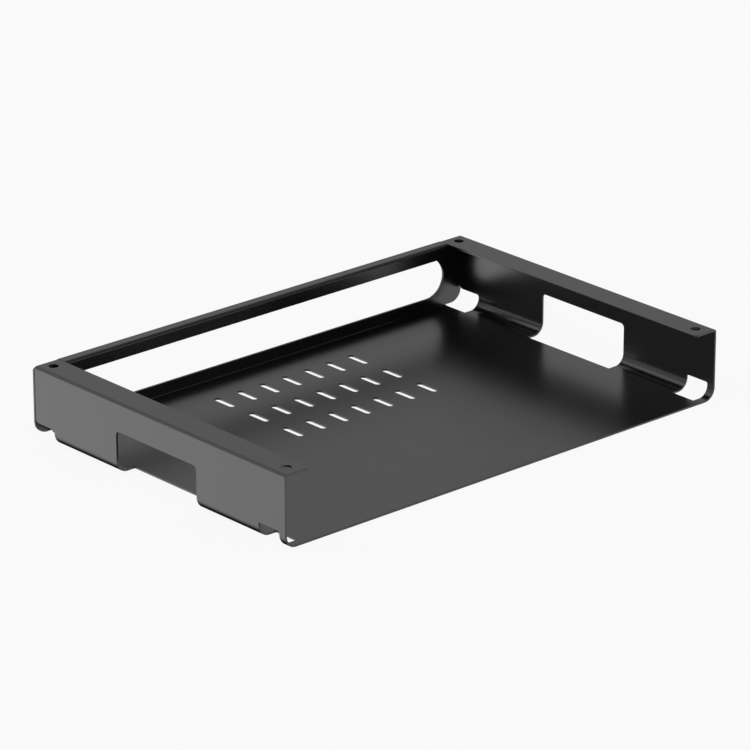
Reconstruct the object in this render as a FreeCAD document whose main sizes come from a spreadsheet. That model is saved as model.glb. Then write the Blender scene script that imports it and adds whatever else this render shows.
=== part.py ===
import FreeCAD, Part
import math
import os

import Sketcher

# Under-desk shelf: a shallow tray of folded sheet steel that hangs below a desk top.
# The origin is the middle of the base, +X runs along the width, +Y to the back, +Z up.

doc = FreeCAD.newDocument("UnderDeskShelf")

# Driving dimensions in millimetres
sizes = {
    "overall_width": 400.0,
    "overall_depth": 264.4,
    "overall_height": 53.0,
    "sheet_thickness": 1.5,
    "side_bend_inner": 8.0,
    "rim_bend_inner": 0.5,
    "foot_bend_inner": 0.5,
    "side_flange_width": 21.0,
    "flange_corner_radius": 3.0,
    "hole_diameter": 7.0,
    "hole_from_side": 10.3,
    "hole_from_end": 10.25,
    "back_flange_width": 10.05,
    "back_lip_height": 10.3,
    "lip_bend_inner": 0.5,
    "panel_corner_radius": 10.0,
    "ear_drop": 1.5,
    "ear_radius": 2.5,
    "window_middle": 26.0,
    "window_height": 31.0,
    "window_from_side": 17.7,
    "side_opening_length": 84.0,
    "side_opening_top": 31.5,
    "side_opening_from_side": 15.8,
    "opening_corner_radius": 3.0,
    "notch_from_front": 6.2,
    "front_notch_length": 20.5,
    "rear_notch_length": 20.9,
    "notch_top": 11.6,
    "notch_from_side": 15.2,
    "notch_corner_radius": 1.5,
    "wall_tail_radius": 3.0,
    "slot_width": 5.0,
    "slot_length": 20.0,
    "slot_pitch_across": 20.9,
    "slot_pitch_along": 36.6,
    "slot_middle_row": 54.4,
    "slots_across": 7,
    "slots_along": 3,
    "floor_weld_width": 1.2,
    "corner_seam": 0.5,
    "corner_weld_sink": 0.6,
    "corner_weld_hollow": 0.15,
    "flange_fit": 0.1,
}

sheet = doc.addObject("Spreadsheet::Sheet", "Sizes")
for row, (alias, value) in enumerate(sizes.items(), start=1):
    sheet.set(f"A{row}", alias)
    sheet.set(f"B{row}", str(value))
    sheet.setAlias(f"B{row}", alias)
doc.recompute()

# Places that several pieces share, as formulas on the driving dimensions
half_width = "(Sizes.overall_width / 2)"
half_depth = "(Sizes.overall_depth / 2)"
top = "Sizes.overall_height"
steel = "Sizes.sheet_thickness"
side_bend_outer = f"(Sizes.side_bend_inner + {steel})"
rim_bend_outer = f"(Sizes.rim_bend_inner + {steel})"
foot_bend_outer = f"(Sizes.foot_bend_inner + {steel})"
flange_inner = f"({half_width} - Sizes.side_flange_width)"
wall_inner = f"({half_width} - {steel})"
rim_start = f"({top} - {rim_bend_outer})"
panel_face = f"({half_depth} - {steel})"
wall_end = f"({panel_face} - Sizes.corner_seam)"
notch_floor_edge = f"({half_width} - Sizes.notch_from_side)"
foot_edge = f"({half_depth} - {foot_bend_outer})"
floor_edge = f"({foot_edge} - Sizes.floor_weld_width)"
seam_bottom = "(Sizes.notch_top + Sizes.wall_tail_radius)"
ear_top = f"({top} - Sizes.ear_drop)"
seam_top = f"({ear_top} - Sizes.ear_radius)"

# A cut this deep goes through one sheet with room to spare
through = f"({steel} * 2)"

# The least volume that counts as a cut, and how near counts as the same place
least_cut = 0.01
same_place = 0.01


def number(formula):
    """Value of a formula on the driving dimensions."""
    return float(sheet.evalExpression(formula))


def new_body(name):
    body = doc.addObject("PartDesign::Body", name)
    body.Label = name
    return body


def origin_plane(body, role):
    return next(item for item in body.Origin.OriginFeatures if item.Role == role)


def new_sketch(body, name, plane, offset=None):
    """Sketch on one of the body's origin planes, moved along its normal by a formula."""
    sketch = body.newObject("Sketcher::SketchObject", name)
    sketch.AttachmentSupport = [(origin_plane(body, plane), "")]
    sketch.MapMode = "FlatFace"
    if offset is not None:
        sketch.setExpression("AttachmentOffset.Base.z", offset)
    doc.recompute()
    return sketch


def bind(sketch, kind, items, formula):
    """Dimension in a sketch that follows a formula."""
    index = sketch.addConstraint(Sketcher.Constraint(kind, *items, number(formula)))
    sketch.setExpression(f"Constraints[{index}]", formula)


def arc_between(start, end, radius, turn):
    """Arc of under a half circle that turns left (1) or right (-1) on its way."""
    chord = end - start
    half = chord.Length / 2
    rise = radius - math.sqrt(max(radius * radius - half * half, 0.0))
    across = FreeCAD.Vector(chord.y, -chord.x, 0).normalize()
    return Part.Arc(start, (start + end) * 0.5 + across * (rise * turn), end)


def outline(sketch, corners):
    """Closed outline. A corner is its two formulas, and when the edge that ends there
    is an arc, also that arc's radius formula and its turn."""
    points = [FreeCAD.Vector(number(corner[0]), number(corner[1]), 0) for corner in corners]
    edges = []
    for index, corner in enumerate(corners):
        start, end = points[index - 1], points[index]
        if len(corner) == 4:
            radius = number(corner[2])
            edge = sketch.addGeometry(arc_between(start, end, radius, corner[3]), False)
            # An arc that turns right is stored from its end to its start
            first, last = (1, 2) if corner[3] > 0 else (2, 1)
        else:
            edge = sketch.addGeometry(Part.LineSegment(start, end), False)
            first, last = 1, 2
        edges.append((edge, first, last))
    for index, corner in enumerate(corners):
        edge, first, last = edges[index]
        before, _, before_last = edges[index - 1]
        sketch.addConstraint(Sketcher.Constraint("Coincident", before, before_last, edge, first))
        bind(sketch, "DistanceX", (-1, 1, edge, last), corner[0])
        bind(sketch, "DistanceY", (-1, 1, edge, last), corner[1])
        if len(corner) == 4:
            bind(sketch, "Radius", (edge,), corner[2])


def circle(sketch, across, along, diameter):
    place = FreeCAD.Vector(number(across), number(along), 0)
    edge = sketch.addGeometry(Part.Circle(place, FreeCAD.Vector(0, 0, 1), number(diameter) / 2), False)
    bind(sketch, "DistanceX", (-1, 1, edge, 3), across)
    bind(sketch, "DistanceY", (-1, 1, edge, 3), along)
    bind(sketch, "Diameter", (edge,), diameter)


def pad(body, name, sketch, length, reverse=False, both_ways=False):
    feature = body.newObject("PartDesign::Pad", name)
    feature.Profile = sketch
    feature.setExpression("Length", length)
    feature.Reversed = reverse
    feature.Midplane = both_ways
    doc.recompute()
    return feature


def pocket(body, name, sketch, depth, reverse=False):
    """Cut that has to take material away."""
    before = body.Shape.Volume
    feature = body.newObject("PartDesign::Pocket", name)
    feature.Profile = sketch
    feature.setExpression("Length", depth)
    feature.Reversed = reverse
    doc.recompute()
    if before - body.Shape.Volume < least_cut:
        raise RuntimeError(f"{name} cuts nothing")
    return feature


def mirror(body, name, features):
    """Repeat of the features on the other side of the middle plane."""
    feature = body.newObject("PartDesign::Mirrored", name)
    feature.Originals = features
    feature.MirrorPlane = (origin_plane(body, "YZ_Plane"), [""])
    body.Tip = feature
    doc.recompute()
    return feature


# Pan: one folded sheet that is the floor, both side walls and both mounting flanges
pan = new_body("pan")

channel = new_sketch(pan, "ChannelProfile", "XZ_Plane", half_depth)
bend_line = f"({half_width} - {side_bend_outer})"
rim_line = f"({half_width} - {rim_bend_outer})"
left_half = [
    (f"-{flange_inner}", top),
    (f"-{rim_line}", top),
    (f"-{half_width}", rim_start, rim_bend_outer, 1),
    (f"-{half_width}", side_bend_outer),
    (f"-{bend_line}", "0", side_bend_outer, 1),
]
right_half = [
    (bend_line, "0"),
    (half_width, side_bend_outer, side_bend_outer, 1),
    (half_width, rim_start),
    (rim_line, top, rim_bend_outer, 1),
    (flange_inner, top),
    (flange_inner, f"{top} - {steel}"),
    (rim_line, f"{top} - {steel}"),
    (wall_inner, rim_start, "Sizes.rim_bend_inner", -1),
    (wall_inner, side_bend_outer),
    (bend_line, steel, "Sizes.side_bend_inner", -1),
]
inside_left = [
    (f"-{bend_line}", steel),
    (f"-{wall_inner}", side_bend_outer, "Sizes.side_bend_inner", -1),
    (f"-{wall_inner}", rim_start),
    (f"-{rim_line}", f"{top} - {steel}", "Sizes.rim_bend_inner", -1),
    (f"-{flange_inner}", f"{top} - {steel}"),
]
outline(channel, left_half + right_half + inside_left)
pad(pan, "Channel", channel, f"{half_depth} + {wall_end}", reverse=True)

# The floor stops short of the back panel's foot by the width of the weld between them
floor_end = new_sketch(pan, "FloorEnd", "XY_Plane")
outline(floor_end, [
    (f"-{notch_floor_edge}", floor_edge),
    (notch_floor_edge, floor_edge),
    (notch_floor_edge, half_depth),
    (f"-{notch_floor_edge}", half_depth),
])
pocket(pan, "FloorTrim", floor_end, through, reverse=True)

# Opening in the middle of each side wall, from the floor round the bend and up the wall
opening_front = "(-Sizes.side_opening_length / 2)"
opening_back = "(Sizes.side_opening_length / 2)"
opening_top = "Sizes.side_opening_top"
opening_round = "Sizes.opening_corner_radius"
opening_edge = f"({half_width} - Sizes.side_opening_from_side)"
opening_depth = f"Sizes.side_opening_from_side + {steel}"
below = f"-{steel}"
side_opening = new_sketch(pan, "SideOpening", "YZ_Plane", opening_edge)
outline(side_opening, [
    (opening_front, below),
    (opening_back, below),
    (opening_back, f"{opening_top} - {opening_round}"),
    (f"{opening_back} - {opening_round}", opening_top, opening_round, 1),
    (f"{opening_front} + {opening_round}", opening_top),
    (opening_front, f"{opening_top} - {opening_round}", opening_round, 1),
])
right_opening = pocket(pan, "RightOpening", side_opening, opening_depth, reverse=True)

# Notches in the bend near each corner; the rear one is open at the end of the wall
front_notch = new_sketch(pan, "FrontNotch", "YZ_Plane", notch_floor_edge)
notch_start = f"(Sizes.notch_from_front - {half_depth})"
notch_stop = f"({notch_start} + Sizes.front_notch_length)"
notch_top = "Sizes.notch_top"
notch_round = "Sizes.notch_corner_radius"
outline(front_notch, [
    (notch_start, below),
    (notch_stop, below),
    (notch_stop, f"{notch_top} - {notch_round}"),
    (f"{notch_stop} - {notch_round}", notch_top, notch_round, 1),
    (f"{notch_start} + {notch_round}", notch_top),
    (notch_start, f"{notch_top} - {notch_round}", notch_round, 1),
])
notch_depth = f"Sizes.notch_from_side + {steel}"
right_front = pocket(pan, "RightFrontNotch", front_notch, notch_depth, reverse=True)

rear_notch = new_sketch(pan, "RearNotch", "YZ_Plane", notch_floor_edge)
rear_start = f"({panel_face} - Sizes.rear_notch_length)"
wall_tail = "Sizes.wall_tail_radius"
outline(rear_notch, [
    (rear_start, below),
    (half_depth, below),
    (half_depth, f"{notch_top} + {wall_tail}"),
    (wall_end, f"{notch_top} + {wall_tail}"),
    (f"{wall_end} - {wall_tail}", notch_top, wall_tail, -1),
    (f"{rear_start} + {notch_round}", notch_top),
    (rear_start, f"{notch_top} - {notch_round}", notch_round, 1),
])
right_rear = pocket(pan, "RightRearNotch", rear_notch, notch_depth, reverse=True)
mirror(pan, "BothSides", [right_opening, right_front, right_rear])

# Vent slots: a column of them, repeated across the floor
column = new_sketch(pan, "SlotColumn", "XY_Plane")
first_column = "(-(Sizes.slots_across - 1) / 2 * Sizes.slot_pitch_across)"
slot_round = "(Sizes.slot_width / 2)"
slot_reach = "((Sizes.slot_length - Sizes.slot_width) / 2)"
for place in range(int(sizes["slots_along"])):
    step = f"({place} - (Sizes.slots_along - 1) / 2)"
    middle = f"(Sizes.slot_middle_row + {step} * Sizes.slot_pitch_along)"
    left = f"({first_column} - {slot_round})"
    right = f"({first_column} + {slot_round})"
    near = f"({middle} - {slot_reach})"
    far = f"({middle} + {slot_reach})"
    outline(column, [
        (left, near),
        (first_column, f"{near} - {slot_round}", slot_round, 1),
        (right, near, slot_round, 1),
        (right, far),
        (first_column, f"{far} + {slot_round}", slot_round, 1),
        (left, far, slot_round, 1),
    ])
slots = pocket(pan, "SlotCuts", column, through, reverse=True)
vents = pan.newObject("PartDesign::LinearPattern", "VentSlots")
vents.Originals = [slots]
vents.Direction = (column, ["H_Axis"])
vents.setExpression("Length", "(Sizes.slots_across - 1) * Sizes.slot_pitch_across")
vents.setExpression("Occurrences", "Sizes.slots_across")
pan.Tip = vents
doc.recompute()

# Screw holes, two in each flange
holes = new_sketch(pan, "ScrewHoles", "XY_Plane", top)
hole_x = f"({half_width} - Sizes.hole_from_side)"
hole_y = f"({half_depth} - Sizes.hole_from_end)"
for side in ("", "-"):
    for end in ("", "-"):
        circle(holes, side + hole_x, end + hole_y, "Sizes.hole_diameter")
pocket(pan, "HoleCuts", holes, through)

# The inner front corners of the flanges are rounded
corner_places = []
for side in (-1, 1):
    corner_x = side * number(flange_inner)
    corner_z = number(top) - number(steel) / 2
    corner_places.append(FreeCAD.Vector(corner_x, -number(half_depth), corner_z))
corner_names = []
for index, edge in enumerate(pan.Shape.Edges, start=1):
    if any(edge.CenterOfMass.distanceToPoint(place) < same_place for place in corner_places):
        corner_names.append(f"Edge{index}")
if len(corner_names) != 2:
    raise RuntimeError("the flanges have two inner front corners")
square_pan = pan.Tip
rounded = pan.newObject("PartDesign::Fillet", "FlangeCorners")
rounded.Base = (square_pan, corner_names)
rounded.setExpression("Radius", "Sizes.flange_corner_radius")
pan.Tip = rounded
doc.recompute()

# Back panel: one folded sheet behind the side walls, with a foot, a top flange and a lip
back_panel = new_body("back_panel")

plate = new_sketch(back_panel, "PlateOutline", "XZ_Plane", f"-{panel_face}")
rim_end = f"({flange_inner} - Sizes.flange_fit)"
corner = "Sizes.panel_corner_radius"
ear = "Sizes.ear_radius"
outline(plate, [
    (f"-{half_width}", f"{foot_bend_outer} + {corner}"),
    (f"-({half_width} - {corner})", foot_bend_outer, corner, 1),
    (f"{half_width} - {corner}", foot_bend_outer),
    (half_width, f"{foot_bend_outer} + {corner}", corner, 1),
    (half_width, f"{ear_top} - {ear}"),
    (f"{half_width} - {ear}", ear_top, ear, 1),
    (rim_end, ear_top),
    (rim_end, rim_start),
    (f"-{rim_end}", rim_start),
    (f"-{rim_end}", ear_top),
    (f"-({half_width} - {ear})", ear_top),
    (f"-{half_width}", f"{ear_top} - {ear}", ear, 1),
])
pad(back_panel, "Plate", plate, steel, reverse=True)

foot = new_sketch(back_panel, "FootProfile", "YZ_Plane")
outline(foot, [
    (half_depth, foot_bend_outer, foot_bend_outer, 1),
    (panel_face, foot_bend_outer),
    (foot_edge, steel, "Sizes.foot_bend_inner", -1),
    (foot_edge, "0"),
])
foot_width = f"({notch_floor_edge} * 2)"
pad(back_panel, "Foot", foot, foot_width, both_ways=True)

lip = new_sketch(back_panel, "FlangeAndLip", "YZ_Plane")
lip_front = f"({half_depth} - Sizes.back_flange_width)"
lip_back = f"({lip_front} + {steel})"
lip_bottom = f"({top} - Sizes.back_lip_height)"
lip_bend_outer = f"(Sizes.lip_bend_inner + {steel})"
lip_bend_back = f"({lip_front} + {lip_bend_outer})"
rim_bend_front = f"({half_depth} - {rim_bend_outer})"
outline(lip, [
    (half_depth, rim_start),
    (rim_bend_front, top, rim_bend_outer, 1),
    (lip_bend_back, top),
    (lip_front, f"{top} - {lip_bend_outer}", lip_bend_outer, 1),
    (lip_front, lip_bottom),
    (lip_back, lip_bottom),
    (lip_back, f"{top} - {lip_bend_outer}"),
    (lip_bend_back, f"{top} - {steel}", "Sizes.lip_bend_inner", -1),
    (rim_bend_front, f"{top} - {steel}"),
    (panel_face, rim_start, "Sizes.rim_bend_inner", -1),
])
pad(back_panel, "BackFlange", lip, f"{rim_end} * 2", both_ways=True)

# Long window for cables, with round ends
window = new_sketch(back_panel, "WindowOutline", "XZ_Plane", f"-{half_depth}")
window_side = f"({half_width} - Sizes.window_from_side)"
window_round = "(Sizes.window_height / 2)"
window_end = f"({window_side} - {window_round})"
window_low = f"(Sizes.window_middle - {window_round})"
window_high = f"(Sizes.window_middle + {window_round})"
outline(window, [
    (f"-{window_end}", window_low, window_round, 1),
    (window_end, window_low),
    (window_side, "Sizes.window_middle", window_round, 1),
    (window_end, window_high, window_round, 1),
    (f"-{window_end}", window_high),
    (f"-{window_side}", "Sizes.window_middle", window_round, 1),
])
pocket(back_panel, "Window", window, through, reverse=True)

# Weld along the floor, ground flush between the pan and the back panel's foot
floor_seam_weld = new_body("floor_seam_weld")
seam = new_sketch(floor_seam_weld, "FloorSeam", "XY_Plane")
outline(seam, [
    (f"-{notch_floor_edge}", floor_edge),
    (notch_floor_edge, floor_edge),
    (notch_floor_edge, foot_edge),
    (f"-{notch_floor_edge}", foot_edge),
])
pad(floor_seam_weld, "FloorBead", seam, steel)

# Welds up the two rear corners: each bead lies in the seam, sunk below the outer face
bead_hollow = "Sizes.corner_weld_hollow"
bead_radius = f"((Sizes.corner_seam ^ 2 / 4 + {bead_hollow} ^ 2) / (2 * {bead_hollow}))"
corner_welds = []
for name, side in (("left_corner_weld", "-"), ("right_corner_weld", "")):
    weld = new_body(name)
    section = new_sketch(weld, f"{name}_section", "XY_Plane", seam_bottom)
    root = f"{side}{wall_inner}"
    face = f"{side}({half_width} - Sizes.corner_weld_sink)"
    turn = 1 if side else -1
    outline(section, [
        (root, wall_end),
        (face, wall_end),
        (face, panel_face, bead_radius, turn),
        (root, panel_face),
    ])
    pad(weld, f"{name}_bead", section, f"{seam_top} - {seam_bottom}")
    corner_welds.append(weld)

doc.recompute()
failed = [item.Name for item in doc.Objects if {"Invalid", "Error"} & set(item.State)]
if failed:
    raise RuntimeError(f"failed features: {failed}")

pieces = [pan, back_panel, floor_seam_weld] + corner_welds
for piece in pieces:
    shape = piece.Shape
    if shape.isNull() or not shape.isValid() or len(shape.Solids) != 1:
        raise RuntimeError(f"{piece.Label} is not one valid solid")

os.makedirs("parts", exist_ok=True)
for piece in pieces:
    piece.Shape.exportStep(f"parts/{piece.Label}.step")
    print(piece.Label, round(piece.Shape.Volume), piece.Shape.BoundBox)
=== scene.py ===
import math

import bpy
from mathutils import Matrix, Vector

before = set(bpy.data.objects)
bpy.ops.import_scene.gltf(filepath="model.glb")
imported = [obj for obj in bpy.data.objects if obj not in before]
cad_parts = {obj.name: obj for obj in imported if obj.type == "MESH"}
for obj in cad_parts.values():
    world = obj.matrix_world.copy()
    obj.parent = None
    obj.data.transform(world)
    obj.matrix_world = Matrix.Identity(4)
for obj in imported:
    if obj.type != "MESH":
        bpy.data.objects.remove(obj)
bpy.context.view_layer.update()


# Pan: the floor, both side walls and both screw flanges, folded from one sheet of
# 1.5 mm steel. The openings are cut before folding, so their edges are plain cut edges.
# The whole shelf is then coated with satin black powder, which rounds those edges a little.
class Shade:
    """A socket in a material. Arithmetic on it adds Math nodes, and node() any other kind."""

    def __init__(self, tree, socket=None):
        self.tree = tree
        self.socket = socket

    def node(self, kind, settings, inputs, output=0):
        made = self.tree.nodes.new(kind)
        for name, value in settings.items():
            setattr(made, name, value)
        for name, value in inputs.items():
            if isinstance(value, Shade):
                self.tree.links.new(value.socket, made.inputs[name])
            else:
                made.inputs[name].default_value = value
        return Shade(self.tree, made.outputs[output]) if made.outputs else made

    def math(self, operation, first, second):
        return self.node("ShaderNodeMath", {"operation": operation}, {0: first, 1: second})

    def __add__(self, other):
        return self.math("ADD", self, other)

    def __radd__(self, other):
        return self.math("ADD", other, self)

    def __sub__(self, other):
        return self.math("SUBTRACT", self, other)

    def __mul__(self, other):
        return self.math("MULTIPLY", self, other)

    def __rmul__(self, other):
        return self.math("MULTIPLY", other, self)


def new_material(name):
    """Empty material, and the shade that its nodes are made from."""
    material = bpy.data.materials.new(name)
    material.use_nodes = True
    material.node_tree.nodes.clear()
    return material, Shade(material.node_tree)


def noise(shade, size, detail):
    """Noise from 0 to 1 with features that large in metres: one size, or one for each axis."""
    place = shade.node("ShaderNodeTexCoord", {}, {}, "Object")
    sizes = size if isinstance(size, tuple) else (size, size, size)
    steps = tuple(1 / axis for axis in sizes)
    place = shade.node("ShaderNodeVectorMath", {"operation": "MULTIPLY"}, {0: place, 1: steps})
    return shade.node("ShaderNodeTexNoise", {}, {"Vector": place, "Scale": 1, "Detail": detail})


# The coat: nearly black, with slow clouds where the film is thicker or thinner and the
# fine orange peel that powder leaves when it melts and flows
coat_thick = (0.002, 0.002, 0.002, 1)
coat_thin = (0.003, 0.003, 0.003, 1)
coat_roughness = 0.26
coat_gloss = 1.0
cloud_size = 0.035
cloud_detail = 3
cloud_roughness = 0.04
peel_size = 0.0008
peel_detail = 2
peel_depth = 0.000004
peel_roughness = 0.03
noise_middle = 0.5


def powder_coat(name, metal_relief=None):
    """Coat over smooth sheet, or over metal whose relief in metres shows through."""
    material, shade = new_material(name)
    clouds = noise(shade, cloud_size, cloud_detail)
    peel = noise(shade, peel_size, peel_detail)
    # A Mix node takes its two colours at inputs 6 and 7 and gives their mixture at output 2
    film = {"Factor": clouds, 6: coat_thick, 7: coat_thin}
    colour = shade.node("ShaderNodeMix", {"data_type": "RGBA"}, film, 2)
    height = peel * peel_depth
    if metal_relief is not None:
        height = height + metal_relief(shade)
    surface = shade.node("ShaderNodeBump", {}, {"Height": height, "Distance": 1, "Strength": 1})
    roughness = coat_roughness + cloud_roughness * (clouds - noise_middle)
    roughness = roughness + peel_roughness * (peel - noise_middle)
    shader = shade.node(
        "ShaderNodeBsdfPrincipled",
        {},
        {
            "Base Color": colour,
            "Roughness": roughness,
            "Specular IOR Level": coat_gloss,
            "Normal": surface,
        },
    )
    shade.node("ShaderNodeOutputMaterial", {}, {"Surface": shader})
    return material


def coat(node, material):
    node.data.materials.clear()
    node.data.materials.append(material)


# The flats are first cleared of mesh lines, so that the rounding runs cleanly along each edge
edge_rounding = 0.0002
edge_steps = 2
sharp_angle = math.radians(40)
flat_angle = math.radians(0.3)
same_place = 0.000001
large_face_weight = 100
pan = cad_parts["pan"]
for face in pan.data.polygons:
    face.use_smooth = True
joined = pan.modifiers.new("joined", "WELD")
joined.merge_threshold = same_place
flats = pan.modifiers.new("flats", "DECIMATE")
flats.decimate_type = "DISSOLVE"
flats.angle_limit = flat_angle
edges = pan.modifiers.new("edges", "BEVEL")
edges.width = edge_rounding
edges.segments = edge_steps
edges.limit_method = "ANGLE"
edges.angle_limit = sharp_angle
edges.use_clamp_overlap = False
normals = pan.modifiers.new("normals", "WEIGHTED_NORMAL")
normals.weight = large_face_weight
black_coat = powder_coat("black_powder_coat")
coat(pan, black_coat)


# Back panel: a second folded sheet with the long cable window, the rail along its top and
# the turned-down lip. It is coated together with the pan, so it has the same finish.
coat(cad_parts["back_panel"], black_coat)


# Welds: the seam along the floor is ground flush before coating, and a sunk bead fills the
# seam up each rear corner. Grinding marks and bead ripples show softly through the coat.
mark_size = (0.004, 0.0002, 0.0002)
mark_detail = 2
mark_depth = 0.000006
ripple_size = (0.002, 0.002, 0.0012)
ripple_detail = 1
ripple_depth = 0.00003


def grinding_marks(shade):
    return noise(shade, mark_size, mark_detail) * mark_depth


def bead_ripples(shade):
    return noise(shade, ripple_size, ripple_detail) * ripple_depth


ground_seam = powder_coat("coated_ground_weld", grinding_marks)
bead = powder_coat("coated_weld_bead", bead_ripples)
coat(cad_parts["floor_seam_weld"], ground_seam)
coat(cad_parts["left_corner_weld"], bead)
coat(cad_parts["right_corner_weld"], bead)


# Table: the pale top that the shelf stands on, evenly lit as in a catalogue picture, with
# only a trace of shade under the shelf.
table_size = 60
table_drop = 0.0002
table_colour = (0.93, 0.93, 0.93, 1)
table_glow = (1.0, 1.0, 1.0, 1)
shade_share = 0.08
bpy.ops.mesh.primitive_plane_add(size=table_size, location=(0, 0, -table_drop))
table = bpy.context.object
table.name = "table_top"
table.visible_glossy = False
table.visible_diffuse = False
table.visible_shadow = False
table_white, shade = new_material("table_white")
lit = shade.node("ShaderNodeBsdfDiffuse", {}, {"Color": table_colour})
glow = shade.node("ShaderNodeEmission", {}, {"Color": table_glow, "Strength": 1})
seen = shade.node("ShaderNodeLightPath", {}, {}, "Is Camera Ray")
both = shade.node("ShaderNodeMixShader", {}, {0: seen * (1 - shade_share), 1: lit, 2: glow})
shade.node("ShaderNodeOutputMaterial", {}, {"Surface": both})
coat(table, table_white)


# Light: a grey studio room with large soft cards round the shelf. The coat mirrors the room
# faintly, so the cards stand where its faces show them, and a flag takes light away. The
# rear, front and side cards are for the faces that the photograph doesn't show.
room_grey = 0.15
# The bearing from the back round to the right and the height above the horizon, both in
# degrees, then how narrow the card or flag is and how bright
cards = {
    "overhead": (0, 90, 1.5, 0.38),
    "left": (321, -12, 12.7, 1.06),
    "left_low": (346, -31, 7.2, 1.03),
    "left_high": (332, 39, 34, 0.9),
    "right": (136, -8, 6.7, 0.96),
    "right_high": (105, 45, 20, 0.5),
    "behind": (39, 26, 14, 0.26),
    "rear": (50, -20, 12, 0.25),
    "rear_left": (230, -14, 12, 0.35),
    "front": (190, 20, 10, 0.25),
    "side_left": (268, -14, 10, 0.3),
    "side_right": (92, -14, 10, 0.2),
    "flag_right": (131, 26, 6.1, -0.67),
    "flag_low": (7, -45, 17, -1.35),
    "flag_high": (68, 53, 14, -0.4),
}
card_white = (1, 1, 1, 1)
room_pale = (0.97, 0.97, 0.97, 1)
room = bpy.data.worlds.new("grey_room")
bpy.context.scene.world = room
room.use_nodes = True
room.node_tree.nodes.clear()
shade = Shade(room.node_tree)
place = shade.node("ShaderNodeTexCoord", {}, {}, "Generated")
looking = shade.node("ShaderNodeVectorMath", {"operation": "NORMALIZE"}, {0: place})
light = room_grey
for bearing, height, narrow, brightness in cards.values():
    turn = math.radians(bearing)
    rise = math.radians(height)
    middle = (math.sin(turn) * math.cos(rise), math.cos(turn) * math.cos(rise), math.sin(rise))
    ways = {0: looking, 1: middle}
    facing = shade.node("ShaderNodeVectorMath", {"operation": "DOT_PRODUCT"}, ways, "Value")
    spread = shade.node("ShaderNodeMath", {"operation": "EXPONENT"}, {0: narrow * (facing - 1)})
    light = light + brightness * spread
light = shade.math("MAXIMUM", light, 0)
lighting = shade.node("ShaderNodeBackground", {}, {"Color": card_white, "Strength": light})
backdrop = shade.node("ShaderNodeBackground", {}, {"Color": room_pale, "Strength": 1})
seen = shade.node("ShaderNodeLightPath", {}, {}, "Is Camera Ray")
both = shade.node("ShaderNodeMixShader", {}, {0: seen, 1: lighting, 2: backdrop})
shade.node("ShaderNodeOutputWorld", {}, {"Surface": both})


# Camera: the photograph's viewpoint, from the front left and above, fitted to the straight
# edges of the shelf. Angles are in degrees and lengths in metres, and the lens in millimetres.
heading = math.radians(41.915)
tilt = math.radians(21.384)
distance = 3.368634
aside = 0.002002
above = -0.030038
nearest = 0.05
farthest = 100
lens = 231.817
sensor = 36
level = math.cos(tilt)
forward = Vector((math.sin(heading) * level, math.cos(heading) * level, -math.sin(tilt)))
right = Vector((math.cos(heading), -math.sin(heading), 0))
upward = right.cross(forward)
camera = bpy.data.objects.new("camera", bpy.data.cameras.new("camera"))
camera.data.lens = lens
camera.data.sensor_width = sensor
camera.data.clip_start = nearest
camera.data.clip_end = farthest
stand = Matrix.Translation(-distance * forward - aside * right - above * upward)
camera.matrix_world = stand @ Matrix((right, upward, -forward)).transposed().to_4x4()
bpy.context.scene.collection.objects.link(camera)
bpy.context.scene.camera = camera
bpy.context.scene.view_settings.view_transform = "Standard"
